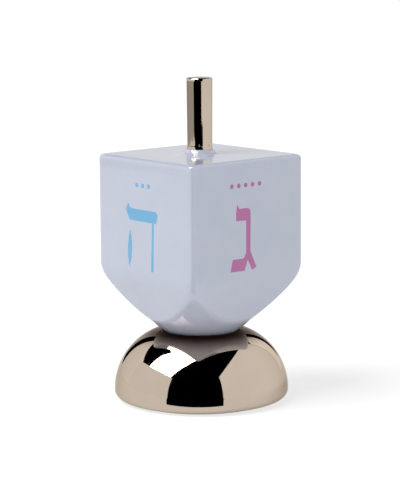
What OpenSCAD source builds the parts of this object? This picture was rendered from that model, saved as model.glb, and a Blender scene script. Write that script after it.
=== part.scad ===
// Porcelain dreidel with a polished metal stem, standing in a polished domed stand.
// Millimetres, +Z up. The origin lies on the table, on the spin axis.

/* [Body] */
// Width across two opposite upright faces
body_side = 60; // [56:0.5:66]
// Height of the upright faces, from the bend up to the top face
face_height = 48.4; // [36:0.1:70]
// Lean of the four lower faces, from the upright
taper_angle = 20.5; // [18:0.5:24]
// Radius of the bend between an upright face and its lower face
bend_radius = 16.5; // [10:0.5:20]
// Rounding of the edges round the top face
top_edge_radius = 1.8; // [0.8:0.1:3]
// Rounding of the upright edges
edge_radius = 1.45; // [0.9:0.05:2.2]
// Rounding to which these edges grow below the bend, at the level of the seat
nose_edge_radius = 6.5; // [1.5:0.1:8]
// Rounding of the arched edges where the lower faces meet the nose
arch_edge_radius = 0.5; // [0.4:0.1:1.5]
// Thickness of the porcelain
body_wall = 3.5; // [2.5:0.1:5]

/* [Nose] */
// Radius of the circle on which the nose sits
seat_radius = 15.7; // [14:0.1:17.5]
// Slope of the nose at that circle, from the upright
seat_slope = 52; // [49:0.5:56]
// Height from that circle up to the bend
taper_height = 24.7; // [22:0.1:28]
// Radius of the long arc that the corners follow from the bend down to the nose
ogive_radius = 245; // [200:5:300]
// Radius of the rounded tip
tip_radius = 4; // [2:0.5:6]

/* [Stem] */
// Diameter of the stem at its free end
stem_tip_d = 10.7; // [8:0.1:13]
// Diameter of the stem above its root
stem_root_d = 10.3; // [8:0.1:13]
// Height of the stem's end above the top face
stem_height = 31.2; // [22:0.1:45]
// Rounding of the stem's end
stem_edge_radius = 0.8; // [0.3:0.1:2]
// Radius of the hollow fillet round the stem's root
root_fillet = 3.2; // [2.6:0.1:5]
// Height of the porcelain collar that the stem sits on
collar_height = 2; // [1:0.1:2.4]
// Width trimmed off the feather edge of the collar's fillet
collar_trim = 0.5; // [0.3:0.1:0.8]
// Diameter of the spigot under the stem
spigot_d = 7.6; // [5:0.1:7.8]
// Length of the spigot
spigot_length = 9; // [7:0.5:14]

/* [Stand] */
// Largest diameter of the stand
stand_d = 72.4; // [70:0.1:84]
// Radius of the arc of the dome, as seen from the side
dome_radius = 26.3; // [25:0.1:31]
// Thickness of the dome
stand_wall = 3; // [2:0.1:4]
// Rounding of the stand's lower edge
foot_edge_radius = 3.4; // [2:0.1:4.5]
// Width of the foot flange, from the rounded edge in to the open underside
foot_width = 9; // [8.5:0.5:11]
// Thickness of the foot flange
foot_thickness = 4.2; // [3.4:0.1:6]
// Rounding of the lip of the mouth
lip_radius = 1.2; // [0.8:0.1:1.6]
// Thickness of the collar inside the mouth
throat_wall = 3; // [2:0.1:4]
// Thickness of the ledge under the seat ring
ledge_thickness = 2.4; // [1.6:0.1:3.5]

/* [Seat ring] */
// Width of the ring
ring_width = 1.7; // [1.2:0.1:2.2]
// Height of the ring on its outside
ring_height = 3; // [2.2:0.1:4]

/* [Foot pad] */
// Width of the bare foot outside the felt ring
pad_margin = 2; // [1.4:0.1:2.6]
// Width of the felt ring
pad_width = 4.4; // [3:0.1:5]
// Depth of the groove that holds it
pad_groove = 1.2; // [0.6:0.1:1.6]
// Height by which it stands proud of the groove
pad_proud = 0.8; // [0.4:0.1:1.2]

/* [Clearances] */
// Play of the nose in the mouth, on the radius
mouth_gap = 0.1; // [0.1:0.05:0.6]
// Room between the nose and the metal lip
lip_gap = 0.35; // [0.3:0.05:0.8]
// Room between the nose and the seat ring
seat_gap = 0.2; // [0.15:0.05:0.3]
// Running fit of the seat ring in the mouth, on the radius
ring_fit = 0.06; // [0.04:0.01:0.1]
// Room under the seat ring
ring_float = 0.1; // [0.05:0.05:0.2]
// Film of cement round the spigot and under the stem
cement_gap = 0.06; // [0.04:0.01:0.12]
// Glue line round the felt ring
pad_gap = 0.05; // [0.03:0.01:0.1]

/* [Hidden] */
$fn = 96;
// Overlap of a cut past the face that it opens
eps = 1;

// Stand: the dome is an arc about a circle at its widest level
stand_r = stand_d/2;
foot_r = stand_r - foot_edge_radius;
underside_r = foot_r - foot_width;
pad_outer_r = foot_r - pad_margin;
pad_inner_r = pad_outer_r - pad_width;
widest_z = pad_proud + foot_edge_radius;
dome_centre_r = stand_r - dome_radius;
mouth_r = seat_radius + mouth_gap;
lip_r = mouth_r + lip_radius;
lip_reach = dome_radius - lip_radius;
lip_z = widest_z + sqrt(pow(lip_reach, 2) - pow(lip_r - dome_centre_r, 2));

// The nose clears the lip by lip_gap, which sets how high the dreidel sits
seat_z = lip_z + (lip_radius + lip_gap - (lip_r - seat_radius)*cos(seat_slope))/sin(seat_slope);
bend_z = seat_z + taper_height;
top_z = bend_z + face_height;
collar_z = top_z + collar_height;
stem_z = top_z + stem_height;

// Body: the bend's arc starts this far above and below the bend line
half_side = body_side/2;
bend_tangent = bend_radius*tan(taper_angle/2);
bend_start_z = bend_z + bend_tangent;
bend_end_z = bend_z - bend_tangent*cos(taper_angle);
ogive_centre_r = seat_radius - ogive_radius*cos(seat_slope);
ogive_centre_z = seat_z + ogive_radius*sin(seat_slope);
cone_tip_z = seat_z - seat_radius/tan(seat_slope);
tip_centre_z = cone_tip_z + tip_radius/sin(seat_slope);
tip_z = tip_centre_z - tip_radius;

// Seat ring: its top runs beside the nose, and its foot stands on the ledge
ring_outer_r = mouth_r - ring_fit;
ring_inner_r = ring_outer_r - ring_width;
ring_foot_z = ring_top_z(ring_outer_r) - ring_height;
ledge_z = ring_foot_z - ring_float;

// Directions of the points round a ring of the body, closer together near its corners
corner_steps = [0, 1.6, 3.4, 6, 9.5, 13.5, 18, 23, 28.5, 34, 39.5];
inner_steps = [0, 5, 13, 25];

// Height of the top of the seat ring at a radius
function ring_top_z(r) = seat_z - (seat_radius - r)/tan(seat_slope) - seat_gap/sin(seat_slope);

// Angles round a full turn, from steps away from each corner
function turn_angles(steps) = [
    for (quarter = [0:3])
    let (middle = 90*quarter + 45)
    each concat(
        [middle - 45],
        [for (i = [len(steps) - 1:-1:1]) middle - steps[i]],
        [for (step = steps) middle + step]
    )
];

// Distance from the axis to an upright or lower face at a height, or to a skin inset from it
function face_half(z, inset = 0) =
    let (bend_inset_r = bend_radius - inset)
    z >= bend_start_z ? half_side - inset
    : z >= bend_start_z - bend_inset_r*sin(taper_angle)
        ? half_side - bend_radius + sqrt(pow(bend_inset_r, 2) - pow(bend_start_z - z, 2))
        : half_side - inset/cos(taper_angle) - (bend_z - z)*tan(taper_angle);

// Radius of the turned form that rounds the corners off towards the nose, or of a skin inset from it
function turned_radius(z, inset = 0) =
    ogive_centre_r + sqrt(pow(ogive_radius - inset, 2) - pow(min(z - ogive_centre_z, 0), 2));

// Rounding of the edge between two faces at a height
function edge_rounding(z) =
    edge_radius + (nose_edge_radius - edge_radius)*max(bend_start_z - z, 0)/(bend_start_z - seat_z);

// Exponent that blends two surfaces of the body so that their edge has this rounding
function crispness(rounding) = 1 + half_side*sqrt(2)/rounding;

// One ring of the body: the four faces blended, and then the turned form, with a crisper edge
function body_ring(angles, half, turned, z) =
    let (
        edge = crispness(edge_rounding(z)),
        arch = crispness(arch_edge_radius)
    )
    [
        for (a = angles)
        let (
            faces = pow(abs(cos(a)), edge) + pow(abs(sin(a)), edge),
            square_r = half*pow(faces, -1/edge),
            near_r = min(square_r, turned),
            share = near_r/max(square_r, turned),
            r = near_r*pow(1 + pow(share, arch), -1/arch)
        )
        [r*cos(a), r*sin(a), z]
    ];

// One ring of the nose, which is round
function round_ring(angles, r, z) = [for (a = angles) [r*cos(a), r*sin(a), z]];

// Evenly spaced values from a to b
function spaced(a, b, count) = [for (i = [0:count]) a + (b - a)*i/count];

// Rings of the outside, from the top face down to the circle on which the nose sits
function outer_rings(angles) = concat(
    [
        for (a = spaced(90, 0, 5))
        let (z = top_z - top_edge_radius*(1 - sin(a)))
        body_ring(angles, half_side - top_edge_radius*(1 - cos(a)), turned_radius(z), z)
    ],
    [
        for (z = concat(
            spaced(bend_start_z + taper_height/2, bend_start_z, 3),
            [for (a = spaced(0, taper_angle, 5)) if (a > 0) bend_start_z - bend_radius*sin(a)],
            [for (z = spaced(bend_end_z, seat_z, 14)) if (z < bend_end_z) z]
        ))
        body_ring(angles, face_half(z), turned_radius(z), z)
    ]
);

// Rings of the nose, down its cone and round its tip
function nose_rings(angles) = concat(
    [
        for (r = spaced(seat_radius, tip_radius*cos(seat_slope), 4))
        if (r < seat_radius)
        round_ring(angles, r, seat_z - (seat_radius - r)/tan(seat_slope))
    ],
    [
        for (a = spaced(seat_slope, 90, 4))
        if (a > seat_slope && a < 90)
        round_ring(angles, tip_radius*cos(a), tip_centre_z - tip_radius*sin(a))
    ]
);

// Rings of the hollow, one wall inside the outside
function inner_rings(angles) = [
    for (z = concat(
        spaced(top_z - body_wall, bend_start_z, 2),
        spaced(bend_end_z, seat_z, 6)
    ))
    body_ring(angles, face_half(z, body_wall), turned_radius(z, body_wall), z)
];

// Closed skin over rings of equal length, ordered from the top down, with a fan over each end
module skin(rings, bottom_z) {
    count = len(rings[0]);
    last = (len(rings) - 1)*count;
    top_middle = last + count;
    bottom_middle = top_middle + 1;
    middles = [[0, 0, rings[0][0].z], [0, 0, bottom_z]];
    faces = [
        for (i = [0:count - 1])
        let (j = (i + 1)%count)
        each concat(
            [[top_middle, j, i]],
            [
                for (upper = [0:count:last - count])
                let (lower = upper + count)
                each [[upper + i, upper + j, lower + j], [upper + i, lower + j, lower + i]]
            ],
            [[last + i, last + j, bottom_middle]]
        )
    ];
    polyhedron(points = concat([for (ring = rings) each ring], middles), faces = faces);
}

// Concave fillet in section, with its hollow turned up and outwards from the stem's root
module root_hollow() {
    translate([stem_root_d/2 + root_fillet, top_z + root_fillet])
        circle(root_fillet);
}

// Hollow porcelain body with a collar and a socket for the stem
module body_shell() {
    outer_angles = turn_angles(corner_steps);
    inner_angles = turn_angles(inner_steps);
    socket_r = spigot_d/2 + cement_gap;
    collar_reach = stem_root_d/2 + root_fillet - collar_trim;
    color("lavender")
        difference() {
            union() {
                skin(concat(outer_rings(outer_angles), nose_rings(outer_angles)), tip_z);
                rotate_extrude()
                    difference() {
                        translate([0, top_z - body_wall/2])
                            square([collar_reach, collar_height + body_wall/2]);
                        root_hollow();
                    }
            }
            skin(inner_rings(inner_angles), seat_z - body_wall/2);
            translate([0, 0, top_z - body_wall - eps])
                cylinder(r = socket_r, h = body_wall + collar_height + 2*eps);
        }
}

// Metal stem, flared into the fillet at its root, with a spigot below
module stem() {
    root_r = stem_root_d/2;
    tip_r = stem_tip_d/2;
    foot_z = collar_z + cement_gap;
    fillet_z = top_z + root_fillet;
    flare_r = root_r + root_fillet;
    color("silver")
        rotate_extrude()
        union() {
            translate([0, foot_z - spigot_length])
                square([spigot_d/2, spigot_length + eps]);
            difference() {
                translate([0, foot_z])
                    square([flare_r, fillet_z - foot_z]);
                root_hollow();
            }
            polygon([
                [0, fillet_z],
                [root_r, fillet_z],
                [tip_r, stem_z - stem_edge_radius],
                [0, stem_z - stem_edge_radius]
            ]);
            translate([0, stem_z - 2*stem_edge_radius])
                square([tip_r - stem_edge_radius, 2*stem_edge_radius]);
            translate([tip_r - stem_edge_radius, stem_z - stem_edge_radius])
                circle(stem_edge_radius);
        }
}

// Outside of the stand in section, up to the sharp top of its dome
module dome_section() {
    intersection() {
        translate([dome_centre_r, widest_z])
            circle(dome_radius);
        translate([0, widest_z])
            square([stand_d, stand_d]);
    }
    translate([foot_r, widest_z])
        circle(foot_edge_radius);
    translate([0, pad_proud])
        square([foot_r, foot_edge_radius]);
}

// Corner of the mouth that the rounded lip replaces
module lip_corner() {
    lean = (lip_r - dome_centre_r)/(lip_z - widest_z);
    rise = 4*lip_radius;
    polygon([
        [0, lip_z],
        [lip_r, lip_z],
        [lip_r + rise*lean, lip_z + rise],
        [lip_r + rise*lean, lip_z + dome_radius],
        [0, lip_z + dome_radius]
    ]);
}

// Hollow of the stand in section, from the foot flange up to the dome's inside
module stand_hollow() {
    flange_z = pad_proud + foot_thickness;
    intersection() {
        translate([dome_centre_r, widest_z])
            circle(dome_radius - stand_wall);
        translate([0, flange_z])
            square([stand_d, stand_d]);
    }
    translate([0, pad_proud - eps])
        square([underside_r, foot_thickness + 2*eps]);
}

// Collar inside the mouth, with the ledge that carries the seat ring
module throat_section() {
    translate([0, ledge_z - ledge_thickness])
        square([mouth_r + throat_wall, lip_z - ledge_z + ledge_thickness]);
}

// Domed stand, open below, with a rounded mouth
module stand_shell() {
    groove_r = pad_inner_r - pad_gap;
    color("tan")
        rotate_extrude()
        union() {
            difference() {
                dome_section();
                difference() {
                    stand_hollow();
                    throat_section();
                }
                lip_corner();
                translate([0, ledge_z])
                    square([mouth_r, dome_radius]);
                translate([0, pad_proud])
                    square([ring_inner_r, dome_radius]);
                translate([groove_r, pad_proud - eps])
                    square([pad_width + 2*pad_gap, pad_groove + eps]);
            }
            translate([lip_r, lip_z])
                circle(lip_radius);
        }
}

// Loose dark ring in the mouth that the nose sits on
module seat_ring() {
    color("dimgray")
        rotate_extrude()
        polygon([
            [ring_inner_r, ring_foot_z],
            [ring_outer_r, ring_foot_z],
            [ring_outer_r, ring_top_z(ring_outer_r)],
            [ring_inner_r, ring_top_z(ring_inner_r)]
        ]);
}

// Felt ring in the groove under the foot
module foot_pad() {
    color("darkolivegreen")
        rotate_extrude()
        translate([pad_inner_r, 0])
        square([pad_width, pad_proud + pad_groove - pad_gap]);
}

body_shell();
stem();
stand_shell();
seat_ring();
foot_pad();
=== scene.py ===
# %% [markdown]
# # A porcelain dreidel in its polished stand
# This lesson dresses a spinning top for a picture: a square porcelain body with a metal finger stem,
# which sits with its round nose in the mouth of a domed metal stand. The solids come from the frame, and
# every piece made here takes the place of one of them, with smoother surfaces and a real finish.

# %% Load the frame
import math

import bmesh
import bpy
from mathutils import Matrix, Quaternion, Vector


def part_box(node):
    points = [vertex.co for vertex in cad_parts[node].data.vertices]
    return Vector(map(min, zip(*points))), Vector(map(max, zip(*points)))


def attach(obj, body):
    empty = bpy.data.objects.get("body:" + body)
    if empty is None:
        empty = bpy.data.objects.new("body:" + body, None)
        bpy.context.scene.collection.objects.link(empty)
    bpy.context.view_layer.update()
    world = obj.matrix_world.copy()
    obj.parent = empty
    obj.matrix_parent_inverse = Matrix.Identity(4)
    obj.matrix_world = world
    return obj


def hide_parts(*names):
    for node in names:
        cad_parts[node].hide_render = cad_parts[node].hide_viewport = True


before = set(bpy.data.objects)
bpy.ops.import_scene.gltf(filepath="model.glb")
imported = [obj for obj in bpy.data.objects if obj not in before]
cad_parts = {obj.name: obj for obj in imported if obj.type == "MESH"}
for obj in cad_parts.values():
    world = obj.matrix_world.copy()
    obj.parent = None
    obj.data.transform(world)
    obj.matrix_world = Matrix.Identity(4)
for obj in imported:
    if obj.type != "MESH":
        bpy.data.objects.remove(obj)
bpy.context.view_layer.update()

# %% [markdown]
# ## Measures
# The frame gives the outer sizes. The roundings and slopes that a box can't tell are written here once, in
# millimetres, with the names that the solids use, so that the smooth pieces lie exactly over the solids.

# %% Sizes read from the frame
MM = 0.001

body_low, body_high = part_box("body_shell")
stem_low, stem_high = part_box("stem")
stand_low, stand_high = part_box("stand_shell")
ring_low, ring_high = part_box("seat_ring")
pad_low, pad_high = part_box("foot_pad")

half_side = body_high.x
collar_z = body_high.z
tip_z = body_low.z
stem_z = stem_high.z
stand_r = stand_high.x
print("Body %.1f mm wide, stem up to %.1f mm, stand %.1f mm wide"
      % (2*half_side/MM, stem_z/MM, 2*stand_r/MM))

# %% Roundings and slopes of the porcelain body
body_wall = 3.5*MM
face_height = 48.4*MM
taper_angle = math.radians(20.5)
bend_radius = 16.5*MM
top_edge_radius = 1.8*MM
edge_radius = 1.45*MM
nose_edge_radius = 6.5*MM
arch_edge_radius = 0.5*MM
taper_height = 24.7*MM
seat_radius = 15.7*MM
seat_slope = math.radians(52)
ogive_radius = 245*MM
tip_radius = 4*MM
collar_height = 2*MM
root_fillet = 3.2*MM
stem_root_r = 5.15*MM
spigot_r = 3.8*MM
cement_gap = 0.06*MM

top_z = collar_z - collar_height
bend_z = top_z - face_height
seat_z = bend_z - taper_height
print("Top face at %.1f mm, bend at %.1f mm, seat at %.1f mm" % (top_z/MM, bend_z/MM, seat_z/MM))

# %% [markdown]
# ## The form of the body
# Seen from above, the body is a square with rounded corners. Lower down, its four faces lean in, and its
# corners follow a long arc, like a pointed arch turned on a lathe, until the square has become a circle at
# the nose. A box with bevels would show hard seams where the faces meet the turned nose. Here each level
# is one closed curve instead: the four faces and the turned form are blended by a high power, which leaves
# the faces flat and rounds only the places where two of them meet.

# %% Curves of the body at any height
bend_tangent = bend_radius*math.tan(taper_angle/2)
bend_start_z = bend_z + bend_tangent
bend_end_z = bend_z - bend_tangent*math.cos(taper_angle)
ogive_centre_r = seat_radius - ogive_radius*math.cos(seat_slope)
ogive_centre_z = seat_z + ogive_radius*math.sin(seat_slope)


def face_half(z, inset=0):
    """Distance from the axis to a face at a height, or to the hollow's wall behind it."""
    bend_r = bend_radius - inset
    if z >= bend_start_z:
        return half_side - inset
    if z >= bend_start_z - bend_r*math.sin(taper_angle):
        return half_side - bend_radius + math.sqrt(bend_r**2 - (bend_start_z - z)**2)
    return half_side - inset/math.cos(taper_angle) - (bend_z - z)*math.tan(taper_angle)


def turned_radius(z, inset=0):
    """Radius of the turned form that rounds the corners off towards the nose."""
    drop = min(z - ogive_centre_z, 0)
    return ogive_centre_r + math.sqrt((ogive_radius - inset)**2 - drop**2)


def edge_rounding(z):
    """Rounding of the edge between two faces: it grows from the bend down to the nose."""
    share = max(bend_start_z - z, 0)/(bend_start_z - seat_z)
    return edge_radius + (nose_edge_radius - edge_radius)*share


def crispness(rounding):
    """Power that blends two surfaces so that their edge has this rounding."""
    return 1 + half_side*math.sqrt(2)/rounding


def blended_radius(angle, half, turned, z):
    """Reach of the body in one direction: the four faces blended, then the turned form, more crisply."""
    edge, arch = crispness(edge_rounding(z)), crispness(arch_edge_radius)
    square = half*(abs(math.cos(angle))**edge + abs(math.sin(angle))**edge)**(-1/edge)
    ratio = min(square, turned)/max(square, turned)
    return min(square, turned)*(1 + ratio**arch)**(-1/arch)


print("A corner reaches %.2f mm at the top" % (blended_radius(math.pi/4, half_side, 1, top_z)/MM))

# %% [markdown]
# ## Rings that grow into a skin
# The skin is drawn the way a potter's profile runs: one ring of points is extruded to the next level and
# put in its place, from the floor of the hollow up through the pour hole, over the collar and the top
# face, and down the outside to the tip. The points crowd towards the corners, where the curve is tight.

# %% Ring helpers
RING_POINTS = 160
CROWDING = 1.8


def crowd(angle):
    """Move a direction towards the nearest corner of the square."""
    quarter = math.pi/2
    middle = (math.floor(angle/quarter) + 0.5)*quarter
    share = (angle - middle)/(quarter/2)
    return middle + math.copysign(abs(share)**CROWDING, share)*quarter/2


def place_ring(verts, reach, z):
    """Put each point of a ring at its reach from the axis, in the direction that it already has."""
    for vert in verts:
        angle = math.atan2(vert.co.y, vert.co.x)
        vert.co = (reach(angle)*math.cos(angle), reach(angle)*math.sin(angle), z)


def first_ring(bm, reach, z):
    """Start a skin: a circle whose points crowd towards the corners."""
    verts = bmesh.ops.create_circle(bm, cap_ends=False, segments=RING_POINTS, radius=1)["verts"]
    for vert in verts:
        angle = crowd(math.atan2(vert.co.y, vert.co.x))
        vert.co = (math.cos(angle), math.sin(angle), 0)
    place_ring(verts, reach, z)
    return verts


def next_ring(bm, verts, reach, z):
    """Extrude the last ring and place the new one."""
    ring = set(verts)
    edges = [e for e in bm.edges if e.verts[0] in ring and e.verts[1] in ring]
    made = bmesh.ops.extrude_edge_only(bm, edges=edges)["geom"]
    new_verts = [item for item in made if isinstance(item, bmesh.types.BMVert)]
    place_ring(new_verts, reach, z)
    return new_verts


def close_ring(bm, verts, z):
    """Draw the last ring together in one point on the axis."""
    last = next_ring(bm, verts, lambda angle: 0.1*MM, z)
    bmesh.ops.pointmerge(bm, verts=last, merge_co=(0, 0, z))


def spread(start, end, count):
    """Evenly spaced values, without the first."""
    return [start + (end - start)*i/count for i in range(1, count + 1)]


def round_reach(radius):
    """A ring that is a plain circle."""
    return lambda angle: radius


def body_reach(z, inset=0):
    """A ring of the body at a height."""
    half, turned = face_half(z, inset), turned_radius(z, inset)
    return lambda angle: blended_radius(angle, half, turned, z)


print("Each ring has", RING_POINTS, "points")

# %% [markdown]
# ## A finished piece
# Every piece ends in the same way: doubled points are merged, the faces are turned outwards, the mesh is
# shaded smooth with its real edges kept sharp, and the piece is tied to the body that it moves with.

# %% Finish helper
SHARP_ANGLE = math.radians(38)
MERGE_DISTANCE = 0.5e-6


def finish_piece(bm, name, material, body, node=None):
    """Make the object, give it its material, tie it to its body, and hide the frame's solid that it stands
    for.
    """
    bmesh.ops.remove_doubles(bm, verts=bm.verts, dist=MERGE_DISTANCE)
    bmesh.ops.recalc_face_normals(bm, faces=bm.faces)
    open_edges = sum(1 for edge in bm.edges if not edge.is_manifold)
    mesh = bpy.data.meshes.new(name)
    bm.to_mesh(mesh)
    bm.free()
    mesh.shade_smooth()
    mesh.set_sharp_from_angle(angle=SHARP_ANGLE)
    mesh.materials.append(material)
    piece = bpy.data.objects.new(name, mesh)
    bpy.context.scene.collection.objects.link(piece)
    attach(piece, body)
    if node:
        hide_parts(node)
    print("%s: %d faces, %d open edges" % (name, len(mesh.polygons), open_edges))
    return piece


# %% [markdown]
# ## Finishes
# Each finish is a few nodes on Object coordinates, in metres, so a pattern has its real size and stays on
# the piece when it turns. A value that is the same everywhere is set on the shader itself.

# %% Node helpers


def new_finish(name):
    """A material with one shader and the piece's own coordinates."""
    material = bpy.data.materials.new(name)
    material.use_nodes = True
    tree = material.node_tree
    shader = tree.nodes["Principled BSDF"]
    coords = tree.nodes.new("ShaderNodeTexCoord")
    return material, tree, shader, coords.outputs["Object"]


def noise(tree, coords, size, detail=2.0):
    """Noise whose lumps are about this size in metres."""
    node = tree.nodes.new("ShaderNodeTexNoise")
    node.inputs["Scale"].default_value = 1/size
    node.inputs["Detail"].default_value = detail
    tree.links.new(coords, node.inputs["Vector"])
    return node.outputs["Fac"]


def spread_value(tree, factor, low, high, from_low=0.3, from_high=0.7):
    """Stretch a factor to a range of values."""
    node = tree.nodes.new("ShaderNodeMapRange")
    node.inputs["From Min"].default_value = from_low
    node.inputs["From Max"].default_value = from_high
    node.inputs["To Min"].default_value = low
    node.inputs["To Max"].default_value = high
    tree.links.new(factor, node.inputs["Value"])
    return node.outputs["Result"]


def two_tones(tree, factor, tone_a, tone_b):
    """Blend two colours by a factor."""
    node = tree.nodes.new("ShaderNodeMix")
    node.data_type = "RGBA"
    node.inputs["A"].default_value = (*tone_a, 1)
    node.inputs["B"].default_value = (*tone_b, 1)
    tree.links.new(factor, node.inputs["Factor"])
    return node.outputs["Result"]


def relief(tree, height, depth):
    """A bump whose full height is this many metres."""
    node = tree.nodes.new("ShaderNodeBump")
    node.inputs["Distance"].default_value = depth
    tree.links.new(height, node.inputs["Height"])
    return node.outputs["Normal"]


print("Node helpers ready")

# %% [markdown]
# ### Glazed porcelain
# White porcelain with a clear glaze: a cool white body under a smooth, shiny skin. The glaze flows before
# it sets, so it is never quite flat. A broad, very low bump makes its reflections swim a little, and two
# close tones keep the white from looking like paint.

# %% Porcelain
PORCELAIN_TONES = ((0.645, 0.685, 0.815), (0.67, 0.71, 0.84))


def glazed(name, tone_a, tone_b):
    """A glazed ceramic finish in two close tones."""
    material, tree, shader, coords = new_finish(name)
    mottle = spread_value(tree, noise(tree, coords, 14*MM), 0, 1)
    tree.links.new(two_tones(tree, mottle, tone_a, tone_b), shader.inputs["Base Color"])
    gloss = spread_value(tree, noise(tree, coords, 5*MM), 0.07, 0.11)
    tree.links.new(gloss, shader.inputs["Roughness"])
    swim = relief(tree, noise(tree, coords, 16*MM, detail=0.0), 0.02*MM)
    tree.links.new(swim, shader.inputs["Normal"])
    shader.inputs["IOR"].default_value = 1.5
    return material


porcelain = glazed("porcelain", *PORCELAIN_TONES)
print("Porcelain finish ready")

# %% [markdown]
# ### Polished metal
# The stem and the stand have a warm nickel mirror finish. A perfect mirror looks drawn, so a low swell
# bends the reflections slightly, as on any hand-polished dome, and faint marks of wiping vary the gloss.
# Round the mouth the stand's colour is darkened to a brown that fades outwards: painted shade for the dark
# crevice under the nose.

# %% Polished nickel
NICKEL_TONES = ((0.49, 0.41, 0.335), (0.52, 0.435, 0.355))
NICKEL_EDGE_TONE = (0.68, 0.63, 0.585)


def polished(name):
    """A mirror finish. The colour comes back too, so that it can be worked over."""
    material, tree, shader, coords = new_finish(name)
    colour = two_tones(tree, spread_value(tree, noise(tree, coords, 20*MM), 0, 1), *NICKEL_TONES)
    tree.links.new(colour, shader.inputs["Base Color"])
    wiping = spread_value(tree, noise(tree, coords, 3*MM, detail=4.0), 0.02, 0.05)
    tree.links.new(wiping, shader.inputs["Roughness"])
    swell = relief(tree, noise(tree, coords, 14*MM, detail=0.0), 0.03*MM)
    tree.links.new(swell, shader.inputs["Normal"])
    shader.inputs["Metallic"].default_value = 1
    shader.inputs["Specular Tint"].default_value = (*NICKEL_EDGE_TONE, 1)
    return material, tree, shader, coords, colour


stem_nickel = polished("stem_nickel")[0]
print("Nickel finish ready")

# %% Painted shade round the mouth of the stand
PAINTED_SHADE_TONE = (0.03, 0.012, 0.01)
PAINTED_SHADE_INNER, PAINTED_SHADE_OUTER = 18.5*MM, 28*MM


def axis_distance(tree, coords):
    """Distance of a point from the spin axis."""
    flat = tree.nodes.new("ShaderNodeVectorMath")
    flat.operation = "MULTIPLY"
    flat.inputs[1].default_value = (1, 1, 0)
    tree.links.new(coords, flat.inputs[0])
    length = tree.nodes.new("ShaderNodeVectorMath")
    length.operation = "LENGTH"
    tree.links.new(flat.outputs["Vector"], length.inputs[0])
    return length.outputs["Value"]


def paint_shade_over(tree, colour, factor, tone):
    """Lay a tone over a colour where the factor is 1: used for the painted shade round the mouth."""
    film = two_tones(tree, factor, tone, tone)
    tree.links.new(colour, film.node.inputs["A"])
    return film


stand_nickel, tree, shader, coords, colour = polished("stand_nickel")
# Painted shade: the stand's colour darkens to a dark brown near the mouth and fades out further from the
# axis.
painted_shade_mask = spread_value(tree, axis_distance(tree, coords), 1, 0, PAINTED_SHADE_INNER, PAINTED_SHADE_OUTER)
painted_shade_mask.node.interpolation_type = "SMOOTHSTEP"
tree.links.new(paint_shade_over(tree, colour, painted_shade_mask, PAINTED_SHADE_TONE), shader.inputs["Base Color"])
# The painted shade fades out at this distance from the axis.
print("Painted_shade reaches %.0f mm from the axis" % (PAINTED_SHADE_OUTER/MM))

# %% [markdown]
# ### Seat ring and felt
# The ring in the mouth is dark satin rubber. The felt under the foot is pressed wool: short fibres in two
# greys, with no shine.

# %% Rubber and felt
rubber, tree, shader, coords = new_finish("dark_rubber")
dust = spread_value(tree, noise(tree, coords, 2*MM, detail=4.0), 0, 1)
tree.links.new(two_tones(tree, dust, (0.012, 0.011, 0.01), (0.02, 0.018, 0.016)), shader.inputs["Base Color"])
tree.links.new(spread_value(tree, noise(tree, coords, 1*MM), 0.45, 0.6), shader.inputs["Roughness"])

felt, tree, shader, coords = new_finish("felt")
fibres = spread_value(tree, noise(tree, coords, 0.7*MM, detail=6.0), 0, 1)
tree.links.new(two_tones(tree, fibres, (0.10, 0.095, 0.09), (0.18, 0.17, 0.16)), shader.inputs["Base Color"])
tree.links.new(relief(tree, noise(tree, coords, 0.5*MM, detail=6.0), 0.15*MM), shader.inputs["Normal"])
shader.inputs["Roughness"].default_value = 0.95
shader.inputs["Sheen Weight"].default_value = 0.3
print("Rubber and felt finishes ready")

# %% [markdown]
# ## The porcelain body
# On the real top this is slip-cast: hollow, with a wall a few millimetres thick and a pour hole in the top
# that the stem's spigot later fills. The skin runs through that hole, so the piece is a true shell.

# %% Inside of the body
ARC_STEPS = 8
socket_r = spigot_r + cement_gap
hollow_top_z = top_z - body_wall
hollow_floor_z = seat_z - body_wall/2

bm = bmesh.new()
ring = first_ring(bm, round_reach(1*MM), hollow_floor_z)
floor_ring = list(ring)
ring = next_ring(bm, ring, body_reach(seat_z, body_wall), seat_z)
for z in spread(seat_z, bend_end_z, 8) + spread(bend_end_z, bend_start_z, 6) + [hollow_top_z]:
    ring = next_ring(bm, ring, body_reach(z, body_wall), z)
ring = next_ring(bm, ring, round_reach(socket_r), hollow_top_z)
bmesh.ops.contextual_create(bm, geom=floor_ring)
print("The hollow's wall is %.1f mm thick" % (body_wall/MM))

# %% Collar, fillet and top face
fillet_centre_r = stem_root_r + root_fillet
fillet_start = math.acos((root_fillet - collar_height)/root_fillet)

for z in spread(hollow_top_z, collar_z, 2):
    ring = next_ring(bm, ring, round_reach(socket_r), z)
for turn in [fillet_start] + spread(fillet_start, 0, ARC_STEPS):
    radius = fillet_centre_r - root_fillet*math.sin(turn)
    ring = next_ring(bm, ring, round_reach(radius), top_z + root_fillet*(1 - math.cos(turn)))
rim_half = half_side - top_edge_radius
for share in spread(0, 1, 6):
    def widening(angle, share=share):
        edge = blended_radius(angle, rim_half, turned_radius(top_z), top_z)
        return fillet_centre_r + (edge - fillet_centre_r)*share
    ring = next_ring(bm, ring, widening, top_z)
print("The fillet round the stem is %.1f mm wide" % ((fillet_centre_r - stem_root_r)/MM))

# %% Rim, upright faces, bend and lower faces
for turn in spread(0, math.pi/2, ARC_STEPS):
    half = rim_half + top_edge_radius*math.sin(turn)
    z = top_z - top_edge_radius*(1 - math.cos(turn))
    turned = turned_radius(z)
    ring = next_ring(bm, ring, lambda angle: blended_radius(angle, half, turned, z), z)
levels = spread(top_z - top_edge_radius, bend_start_z, 12)
levels += [bend_start_z - bend_radius*math.sin(turn) for turn in spread(0, taper_angle, 10)]
levels += spread(bend_end_z, seat_z, 26)
for z in levels:
    ring = next_ring(bm, ring, body_reach(z), z)
print("The outside has", len(levels), "levels below its rim")

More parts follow.
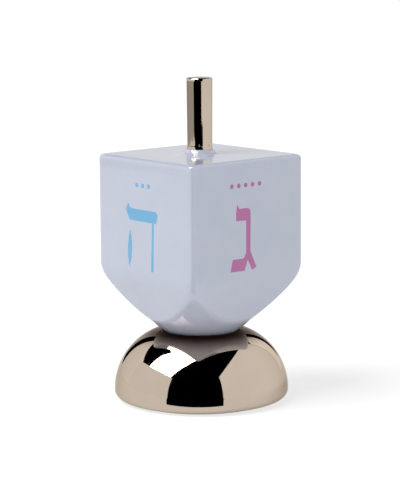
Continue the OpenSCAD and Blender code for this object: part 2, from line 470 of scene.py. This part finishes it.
# %% Nose and tip
cone_tip_z = seat_z - seat_radius/math.tan(seat_slope)
tip_centre_z = cone_tip_z + tip_radius/math.sin(seat_slope)
for radius in spread(seat_radius, tip_radius*math.cos(seat_slope), 8):
    ring = next_ring(bm, ring, round_reach(radius), seat_z - (seat_radius - radius)/math.tan(seat_slope))
for turn in spread(seat_slope, math.pi/2, ARC_STEPS)[:-1]:
    z = tip_centre_z - tip_radius*math.sin(turn)
    ring = next_ring(bm, ring, round_reach(tip_radius*math.cos(turn)), z)
close_ring(bm, ring, tip_z)
finish_piece(bm, "porcelain_body", porcelain, "dreidel", "body_shell")

# %% [markdown]
# ## Turned pieces
# The stem, the stand, the ring and the felt are all round. Each is drawn as half a section in the XZ plane
# with a pen that makes straight lines and arcs, and the section is then spun a full turn about the axis.
# The alternative, stacking cylinders and spheres, would leave seams and need cutting.

# %% Pen and lathe helpers
TURN_STEPS = 144


def pen_down(bm, r, z):
    """Start a section at a radius and a height."""
    return bm.verts.new((r, 0, z))


def line_to(bm, pen, r, z):
    """Draw a straight line and return its end."""
    tip = bmesh.ops.extrude_vert_indiv(bm, verts=[pen])["verts"][0]
    tip.co = (r, 0, z)
    return tip


def arc_about(bm, pen, centre_r, centre_z, angle, steps):
    """Draw an arc about a centre, anticlockwise for a positive angle, and return its end."""
    made = bmesh.ops.spin(bm, geom=[pen], cent=(centre_r, 0, centre_z), axis=(0, -1, 0),
                          angle=angle, steps=steps)
    return [item for item in made["geom_last"] if isinstance(item, bmesh.types.BMVert)][0]


def turn_section(bm):
    """Spin the whole section about the axis."""
    bmesh.ops.spin(bm, geom=bm.verts[:] + bm.edges[:], cent=(0, 0, 0), axis=(0, 0, 1),
                   angle=2*math.pi, steps=TURN_STEPS, use_merge=True)


print("Sections are turned in", TURN_STEPS, "steps")

# %% [markdown]
# ### Finger stem
# A short polished rod, a touch wider at its free end, with an eased edge there and a small flare that
# carries on the porcelain's fillet. A spigot below goes into the pour hole. Two points lie close to the ends
# of the straight side, so that the smooth shading of the roundings doesn't spread over it.

# %% Stem
stem_tip_r = 5.35*MM
stem_edge_radius = 0.8*MM
spigot_chamfer = 0.5*MM
spigot_length = 9*MM
stem_foot_z = stem_low.z + spigot_length
fillet_centre_z = top_z + root_fillet
flare_turn = math.asin((fillet_centre_z - stem_foot_z)/root_fillet)
flare_r = fillet_centre_r - root_fillet*math.cos(flare_turn)

bm = bmesh.new()
pen = pen_down(bm, 0, stem_low.z)
pen = line_to(bm, pen, spigot_r - spigot_chamfer, stem_low.z)
pen = line_to(bm, pen, spigot_r, stem_low.z + spigot_chamfer)
pen = line_to(bm, pen, spigot_r, stem_foot_z)
pen = line_to(bm, pen, flare_r, stem_foot_z)
pen = arc_about(bm, pen, fillet_centre_r, fillet_centre_z, -flare_turn, ARC_STEPS)
edge_start_z = stem_z - stem_edge_radius
for share in (0.02, 0.5, 0.98, 1):
    wide = stem_root_r + (stem_tip_r - stem_root_r)*share
    pen = line_to(bm, pen, wide, fillet_centre_z + (edge_start_z - fillet_centre_z)*share)
pen = arc_about(bm, pen, stem_tip_r - stem_edge_radius, edge_start_z, math.pi/2, ARC_STEPS)
pen = line_to(bm, pen, 0, stem_z)
turn_section(bm)
finish_piece(bm, "finger_stem", stem_nickel, "dreidel", "stem")

# %% [markdown]
# ### Domed stand
# The stand is a spun metal shell: a dome with a rounded foot and a rounded lip, a short collar inside the
# mouth with a ledge for the seat ring, and a flange under the foot with a groove for the felt.

# %% Stand
dome_radius = 26.3*MM
stand_wall = 3*MM
foot_edge_radius = 3.4*MM
foot_width = 9*MM
foot_thickness = 4.2*MM
lip_radius = 1.2*MM
throat_wall = 3*MM
ledge_thickness = 2.4*MM
ring_float = 0.1*MM
groove_gap = 0.05*MM
groove_depth = 1.2*MM
pad_width = 4.4*MM
DOME_STEPS, INNER_STEPS, EDGE_STEPS = 40, 24, 12

foot_z = stand_low.z
foot_r = stand_r - foot_edge_radius
underside_r = foot_r - foot_width
widest_z = foot_z + foot_edge_radius
dome_centre_r = stand_r - dome_radius
lip_z = stand_high.z - lip_radius
lip_r = dome_centre_r + math.sqrt((dome_radius - lip_radius)**2 - (lip_z - widest_z)**2)
lip_turn = math.atan2(lip_z - widest_z, lip_r - dome_centre_r)
mouth_r = lip_r - lip_radius
ledge_z = ring_low.z - ring_float
ledge_r = math.hypot(*max((v.co.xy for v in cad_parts["seat_ring"].data.vertices),
                          key=lambda p: -math.hypot(*p)))
throat_r = mouth_r + throat_wall
inner_dome = dome_radius - stand_wall
throat_turn = math.acos((throat_r - dome_centre_r)/inner_dome)
flange_z = foot_z + foot_thickness
flange_turn = math.asin((flange_z - widest_z)/inner_dome)

bm = bmesh.new()
start = pen_down(bm, stand_r, widest_z)
pen = arc_about(bm, start, dome_centre_r, widest_z, lip_turn, DOME_STEPS)
pen = arc_about(bm, pen, lip_r, lip_z, math.pi - lip_turn, EDGE_STEPS)
pen = line_to(bm, pen, mouth_r, ledge_z)
pen = line_to(bm, pen, ledge_r, ledge_z)
pen = line_to(bm, pen, ledge_r, ledge_z - ledge_thickness)
pen = line_to(bm, pen, throat_r, ledge_z - ledge_thickness)
pen = line_to(bm, pen, throat_r, widest_z + inner_dome*math.sin(throat_turn))
pen = arc_about(bm, pen, dome_centre_r, widest_z, flange_turn - throat_turn, INNER_STEPS)
pen = line_to(bm, pen, underside_r, flange_z)
pen = line_to(bm, pen, underside_r, foot_z)
pad_inner_r = pad_high.x - pad_width
groove_in, groove_out = pad_inner_r - groove_gap, pad_high.x + groove_gap
pen = line_to(bm, pen, groove_in, foot_z)
pen = line_to(bm, pen, groove_in, foot_z + groove_depth)
pen = line_to(bm, pen, groove_out, foot_z + groove_depth)
pen = line_to(bm, pen, groove_out, foot_z)
pen = line_to(bm, pen, foot_r, foot_z)
pen = arc_about(bm, pen, foot_r, widest_z, math.pi/2, EDGE_STEPS)
bmesh.ops.pointmerge(bm, verts=[pen, start], merge_co=start.co)
turn_section(bm)
finish_piece(bm, "domed_stand", stand_nickel, "stand", "stand_shell")

# %% [markdown]
# ### Seat ring and felt ring
# Two plain rings: four corners each, eased by a small bevel of the section's points, then turned.

# %% Rings
EASE_STEPS = 3
SEAT_EASE, PAD_EASE = 0.2*MM, 0.25*MM


def turned_ring(corners, ease):
    """A ring from the corners of its section, with the corners eased."""
    bm = bmesh.new()
    verts = [pen_down(bm, r, z) for r, z in corners]
    bm.faces.new(verts)
    bmesh.ops.bevel(bm, geom=verts, offset=ease, affect="VERTICES", segments=EASE_STEPS, profile=0.5,
                    material=-1)
    bmesh.ops.delete(bm, geom=bm.faces[:], context="FACES_ONLY")
    turn_section(bm)
    return bm


ring_drop = (ring_high.x - ledge_r)/math.tan(seat_slope)
seat_section = [(ledge_r, ring_low.z), (ring_high.x, ring_low.z),
                (ring_high.x, ring_high.z), (ledge_r, ring_high.z - ring_drop)]
seat_rubber = turned_ring(seat_section, SEAT_EASE)
finish_piece(seat_rubber, "seat_ring_rubber", rubber, "seat", "seat_ring")

pad_section = [(pad_inner_r, pad_low.z), (pad_high.x, pad_low.z),
               (pad_high.x, pad_high.z), (pad_inner_r, pad_high.z)]
finish_piece(turned_ring(pad_section, PAD_EASE), "felt_ring", felt, "stand", "foot_pad")

# %% [markdown]
# ## Marks on the faces
# A dreidel's four faces carry the four letters of the game, as a die carries its pips. They are transfers
# fired under the glaze: a film of colour with no thickness to feel. Each one is drawn here as a plain
# polygon with eased corners, a few hundredths of a millimetre proud, and turned round to its own face.

# %% Mark finishes
MARK_TONES = {
    "pink": ((0.56, 0.17, 0.42), (0.59, 0.19, 0.45)),
    "blue": ((0.18, 0.52, 0.83), (0.21, 0.55, 0.86)),
    "green": ((0.28, 0.58, 0.40), (0.31, 0.61, 0.43)),
    "amber": ((0.85, 0.47, 0.18), (0.88, 0.50, 0.21)),
}
mark_finish = {name: glazed("mark_" + name, *tones) for name, tones in MARK_TONES.items()}
print("Mark colours:", ", ".join(mark_finish))

# %% Mark helpers
MARK_PROUD = 0.03*MM
MARK_SUNK = 0.05*MM
DOT_RADIUS = 0.95*MM
DOT_PITCH = 3.7*MM
BAR_EASE, BROAD_EASE, FINE_EASE = 0.3*MM, 0.25*MM, 0.1*MM


def draw_outline(bm, points, ease):
    """One closed shape on the front face, in millimetres across and up."""
    verts = [bm.verts.new((across*MM, -half_side + MARK_SUNK, up*MM)) for across, up in points]
    bm.faces.new(verts)
    bmesh.ops.bevel(bm, geom=verts, offset=ease, affect="VERTICES", segments=3, profile=0.5, material=-1)


def draw_dots(bm, middle, up, count):
    """A row of dots above a letter."""
    upright = Matrix.Rotation(math.pi/2, 4, "X")
    for i in range(count):
        across = middle*MM + (i - (count - 1)/2)*DOT_PITCH
        place = Matrix.Translation((across, -half_side + MARK_SUNK, up*MM))
        bmesh.ops.create_circle(bm, cap_ends=True, segments=24, radius=DOT_RADIUS, matrix=place @ upright)


def finish_mark(bm, name, colour, quarter_turns):
    """Give the flat shapes their film thickness, and turn them to their face."""
    film = bmesh.ops.extrude_face_region(bm, geom=bm.faces[:], use_keep_orig=True)["geom"]
    front = [item for item in film if isinstance(item, bmesh.types.BMVert)]
    bmesh.ops.translate(bm, verts=front, vec=(0, -MARK_SUNK - MARK_PROUD, 0))
    bmesh.ops.triangulate(bm, faces=[face for face in bm.faces if len(face.verts) > 4])
    turn = Matrix.Rotation(quarter_turns*math.pi/2, 3, "Z")
    bmesh.ops.rotate(bm, verts=bm.verts, cent=(0, 0, 0), matrix=turn)
    return finish_piece(bm, name, mark_finish[colour], "dreidel")


print("A mark stands %.2f mm proud" % (MARK_PROUD/MM))

# %% Gimel, on the right in the picture
bm = bmesh.new()
draw_outline(bm, [(-6.9, 78.2), (-6.9, 81.5), (-6.2, 84.9), (-5.2, 83.0), (-0.6, 83.0), (0.6, 82.2),
                  (0.9, 80.8), (0.7, 65.4), (3.9, 58.7), (1.7, 57.5), (-0.7, 62.0), (-2.5, 57.6),
                  (-9.9, 57.8), (-8.8, 62.7), (-2.8, 62.7), (-1.5, 65.0), (-1.5, 78.0)], BROAD_EASE)
draw_dots(bm, -1.7, 92.3, 5)
finish_mark(bm, "mark_gimel", "pink", 0)

# %% He, on the left in the picture
bm = bmesh.new()
draw_outline(bm, [(-11.3, 81.2), (-9.9, 84.0), (-8.6, 81.8), (7.6, 81.8), (8.9, 80.6), (7.9, 77.0),
                  (-9.0, 77.0)], BAR_EASE)
draw_outline(bm, [(5.2, 77.0), (6.4, 77.0), (5.9, 57.2), (4.4, 57.0)], FINE_EASE)
draw_outline(bm, [(-8.7, 73.2), (-7.9, 69.5), (-7.7, 65.8), (-8.2, 61.5), (-9.4, 57.3), (-10.2, 61.5),
                  (-10.4, 65.6), (-9.8, 69.5)], FINE_EASE)
draw_dots(bm, -0.5, 91.6, 3)
finish_mark(bm, "mark_he", "blue", -1)

# %% Nun and shin, on the two faces behind
bm = bmesh.new()
draw_outline(bm, [(-4.9, 78.2), (-4.9, 81.5), (-4.2, 84.9), (-3.2, 83.0), (3.0, 83.0), (3.0, 57.6),
                  (-6.0, 57.8), (-5.2, 62.5), (0.6, 62.5), (0.6, 78.0)], BROAD_EASE)
draw_dots(bm, -0.5, 92.3, 3)
finish_mark(bm, "mark_nun", "green", 1)

bm = bmesh.new()
draw_outline(bm, [(-8.6, 57.6), (8.6, 57.6), (9.8, 77.6), (11.2, 83.0), (6.6, 83.0), (7.6, 77.6),
                  (6.8, 62.2), (1.2, 62.2), (1.5, 77.6), (2.6, 83.0), (-2.2, 83.0), (-1.0, 77.6),
                  (-1.2, 62.2), (-6.8, 62.2), (-7.6, 77.6), (-6.4, 83.0), (-11.2, 83.0), (-9.8, 77.6)],
             BROAD_EASE)
draw_dots(bm, 0, 92.3, 4)
finish_mark(bm, "mark_shin", "amber", 2)

# %% [markdown]
# ## Studio
# The picture is taken on white, in a dark room with white walls at the left, at the right and behind, and a
# soft lamp at the upper left. A mirror shows its surroundings, so the studio matters as much as the metal.
# The camera sees only the white floor. Mirrors see the room as well: black, with white walls, a bright
# lamp panel and a dark table in front, each where its reflection lies on the dome.

# %% World and floor
WORLD_LIGHT = 0.56
FLOOR_GLOW, FLOOR_BOUNCE = 0.75, 0.40
PAPER_TONE = (0.15, 0.15, 0.15)
FLOOR_HALF = 6.0

scene = bpy.context.scene
scene.view_settings.view_transform = "Standard"


def seen_directly(tree):
    """1 for rays from the camera, from mirrors and through glass, and 0 for light that spreads."""
    path = tree.nodes.new("ShaderNodeLightPath")
    total = path.outputs["Is Camera Ray"]
    for name in ("Is Glossy Ray", "Is Transmission Ray"):
        add = tree.nodes.new("ShaderNodeMath")
        add.operation = "MAXIMUM"
        tree.links.new(total, add.inputs[0])
        tree.links.new(path.outputs[name], add.inputs[1])
        total = add.outputs["Value"]
    return total


world = bpy.data.worlds.new("white_tent")
world.use_nodes = True
scene.world = world
tree = world.node_tree
background = tree.nodes["Background"]
background.inputs["Color"].default_value = (1, 1, 1, 1)
level = spread_value(tree, seen_directly(tree), WORLD_LIGHT, 1, 0, 1)
tree.links.new(level, background.inputs["Strength"])


def stage_object(bm, name, material):
    """An object of the studio, which isn't part of the dreidel."""
    mesh = bpy.data.meshes.new(name)
    bm.to_mesh(mesh)
    bm.free()
    mesh.materials.append(material)
    obj = bpy.data.objects.new(name, mesh)
    scene.collection.objects.link(obj)
    return obj


paper, tree, shader, coords = new_finish("white_paper")
shader.inputs["Base Color"].default_value = (*PAPER_TONE, 1)
shader.inputs["Roughness"].default_value = 1
shader.inputs["Specular IOR Level"].default_value = 0
shader.inputs["Emission Color"].default_value = (1, 1, 1, 1)
glow = spread_value(tree, seen_directly(tree), FLOOR_BOUNCE, FLOOR_GLOW, 0, 1)
tree.links.new(glow, shader.inputs["Emission Strength"])
paper.cycles.emission_sampling = "NONE"

bm = bmesh.new()
bmesh.ops.create_grid(bm, x_segments=1, y_segments=1, size=FLOOR_HALF)
floor = stage_object(bm, "floor", paper)
print("White floor %.0f m wide" % (2*FLOOR_HALF))

# %% [markdown]
# ### Walls, lamp panel and lights
# Directions in the studio are told from the camera: azimuth 0 is towards it, positive to the picture's
# right. Each panel is a polygon through the directions in which its corners are seen from the dreidel. The
# key light is a broad sun from the lamp's side, hidden from mirrors, because the panel is what they see.
# A second sun lights the floor alone, and throws the soft shadow at the right.

# %% Studio helpers
CAMERA_AZIMUTH = -40.54


def studio_direction(azimuth, elevation):
    """Unit vector from the dreidel, with azimuth told from the camera's side."""
    a, e = math.radians(CAMERA_AZIMUTH + azimuth), math.radians(elevation)
    return Vector((math.sin(a)*math.cos(e), -math.cos(a)*math.cos(e), math.sin(e)))


def mirror_only(obj):
    """Hide an object from everything but mirrors and glass."""
    obj.visible_camera = False
    obj.visible_diffuse = False
    obj.visible_shadow = False


def panel(name, material, facing, distance, corners):
    """A flat panel, square to one direction, whose corners are seen in these directions."""
    middle = studio_direction(*facing)
    bm = bmesh.new()
    ways = [studio_direction(*corner) for corner in corners]
    bm.faces.new([bm.verts.new(way*distance/way.dot(middle)) for way in ways])
    mirror_only(stage_object(bm, name, material))


def floor_patch(name, material, corners):
    """A flat patch just above the floor, from the reach and azimuth of its corners."""
    bm = bmesh.new()
    points = [studio_direction(azimuth, 0)*reach for reach, azimuth in corners]
    bm.faces.new([bm.verts.new(point + Vector((0, 0, PATCH_LIFT))) for point in points])
    mirror_only(stage_object(bm, name, material))


def glowing(name, level):
    """A plain bright finish, which needs no light."""
    material, tree, shader, coords = new_finish(name)
    shader.inputs["Base Color"].default_value = (0, 0, 0, 1)
    shader.inputs["Specular IOR Level"].default_value = 0
    shader.inputs["Emission Color"].default_value = (1, 1, 1, 1)
    shader.inputs["Emission Strength"].default_value = level
    return material


PATCH_LIFT = 0.2*MM
black = glowing("black_card", 0)
print("Panels face the dreidel")

# %% [markdown]
# ### Dark room and walls
# A black cube stands for the dark room. In it, each wall is given by the direction that it faces, where it
# starts and ends, the rise of its top over its distance, and how bright it is.

# %% White walls in a dark room
TENT = 2.5
ROOM_HALF = 6.0
WALLS = {
    "left_wall": (-75, -112, -45, 0.745, 1.08),
    "rear_left_wall": (-150, -150, -112, 0.79, 1.15),
    "right_wall": (90, 28.5, 142, 1.66, 1.12),
    "rear_right_wall": (150, 142, 157, 0.75, 1.40),
    "back_wall": (180, 163, 200, 0.60, 0.75),
}

bm = bmesh.new()
bmesh.ops.create_cube(bm, size=2*ROOM_HALF)
mirror_only(stage_object(bm, "dark_room", black))

for name, (facing, start, end, rise, level) in WALLS.items():
    slants = [math.cos(math.radians(azimuth - facing)) for azimuth in (start, end)]
    start_top, end_top = [math.degrees(math.atan(rise*slant)) for slant in slants]
    panel(name, glowing(name, level), (facing, 0), TENT,
          [(start, 0), (end, 0), (end, end_top), (start, start_top)])
print(len(WALLS), "walls stand at %.1f m" % TENT)

# %% [markdown]
# ### Table, shade and rails
# The dome mirrors the table just in front of it. The upright stem mirrors the floor one to two metres away
# instead, where the table is a little shifted and the floor beside it lies in shade. Two low rails hide
# that far floor from the dome. The stem looks over them.

# %% Dark table in front
TABLE_LEFT = ((0.058, -32), (0.087, -37), (0.307, -43.4), (0.85, -45), (0.9, -54),
              (1.7, -54), (1.75, -45), (9, -45))
TABLE_RIGHT = ((0.054, 19), (0.084, 22.6), (0.303, 27.2), (0.95, 28.3), (1.0, 16),
               (1.7, 16), (1.75, 28.5), (9, 28.5))
SHADE_NEAR, SHADE_FAR = 0.9, 1.7
SHADE_AZIMUTHS = (-54, -86, -118, -150)
SHADE_LEVEL = 0.52

floor_patch("dark_table", black, TABLE_LEFT + TABLE_RIGHT[::-1])
near_edge = [(SHADE_NEAR, azimuth) for azimuth in SHADE_AZIMUTHS]
far_edge = [(SHADE_FAR, azimuth) for azimuth in SHADE_AZIMUTHS[::-1]]
floor_patch("shaded_floor", glowing("shaded_floor", SHADE_LEVEL), near_edge + far_edge)
print("The dark table starts %.0f mm in front of the axis" % (TABLE_LEFT[0][0]/MM))

# %% Low rails
RAIL_REACH, RAIL_HEIGHT = 0.6, 22*MM
RAILS = {"white_rail": ((-45, -65, -85, -105, -128, -150), 1.08), "black_rail": ((13, 21, 28.5), 0)}

for name, (azimuths, level) in RAILS.items():
    bm = bmesh.new()
    feet = [bm.verts.new(studio_direction(azimuth, 0)*RAIL_REACH) for azimuth in azimuths]
    edges = [bm.edges.new(pair) for pair in zip(feet, feet[1:])]
    made = bmesh.ops.extrude_edge_only(bm, edges=edges)["geom"]
    tops = [item for item in made if isinstance(item, bmesh.types.BMVert)]
    bmesh.ops.translate(bm, verts=tops, vec=(0, 0, RAIL_HEIGHT))
    mirror_only(stage_object(bm, name, glowing(name, level)))
print(len(RAILS), "rails are %.0f mm high" % (RAIL_HEIGHT/MM))

# %% [markdown]
# ### Lamp panel and suns
# The lamp is a bright panel for mirrors, and its light comes from a broad sun on the same side.

# %% Lamp panel and key light
LAMP_DISTANCE = 2.0
LAMP_FACING = (-75, 58)
LAMP_CORNERS = ((-93.4, 35.1), (-48, 34.2), (-34, 58.6), (-12, 74),
                (-129, 76), (-129, 58), (-104, 64), (-102, 54))
LAMP_LEVEL = 10.0
KEY_STRENGTH = 0.95
FLOOR_KEY_STRENGTH = 6.1
KEY_SPREAD = math.radians(40)
KEY_DIRECTION = (-65, 52)

panel("lamp_panel", glowing("lamp_panel", LAMP_LEVEL), LAMP_FACING, LAMP_DISTANCE, LAMP_CORNERS)


def sun(name, strength):
    """A broad sun from the lamp's side that mirrors don't see."""
    light = bpy.data.objects.new(name, bpy.data.lights.new(name, "SUN"))
    light.data.energy = strength
    light.data.angle = KEY_SPREAD
    light.rotation_mode = "QUATERNION"
    light.rotation_quaternion = studio_direction(*KEY_DIRECTION).to_track_quat("Z", "Y")
    light.visible_glossy = False
    scene.collection.objects.link(light)
    return light


sun("key_light", KEY_STRENGTH)
lit_by_floor_light = bpy.data.collections.new("lit_by_floor_light")
lit_by_floor_light.objects.link(floor)
sun("floor_light", FLOOR_KEY_STRENGTH).light_linking.receiver_collection = lit_by_floor_light
print("The lamp panel hangs at %.1f m" % LAMP_DISTANCE)

# %% [markdown]
# ## Camera
# A long lens from a little above, at the height and distance that give the top face and the sides the
# lengths they have in the picture. The camera leans by a fraction of a degree, as it did there.

# %% Camera
CAMERA_DISTANCE = 0.850
CAMERA_HEIGHT = 0.20195
AIM_HEIGHT = 0.0645
FOCAL_PIXELS = 2085.3
FRAME_HEIGHT = 489
SENSOR = 36
CAMERA_ROLL = math.radians(-0.37)
SHIFT_PIXELS = -0.49

camera = bpy.data.objects.new("camera", bpy.data.cameras.new("camera"))
camera.data.sensor_width = SENSOR
camera.data.lens = FOCAL_PIXELS/FRAME_HEIGHT*SENSOR
camera.data.shift_x = SHIFT_PIXELS/FRAME_HEIGHT
camera.location = studio_direction(0, 0)*CAMERA_DISTANCE + Vector((0, 0, CAMERA_HEIGHT))
view_line = Vector((0, 0, AIM_HEIGHT)) - camera.location
camera.rotation_mode = "QUATERNION"
camera.rotation_quaternion = view_line.to_track_quat("-Z", "Y") @ Quaternion((0, 0, 1), CAMERA_ROLL)
scene.collection.objects.link(camera)
scene.camera = camera
print("Lens %.0f mm" % camera.data.lens)
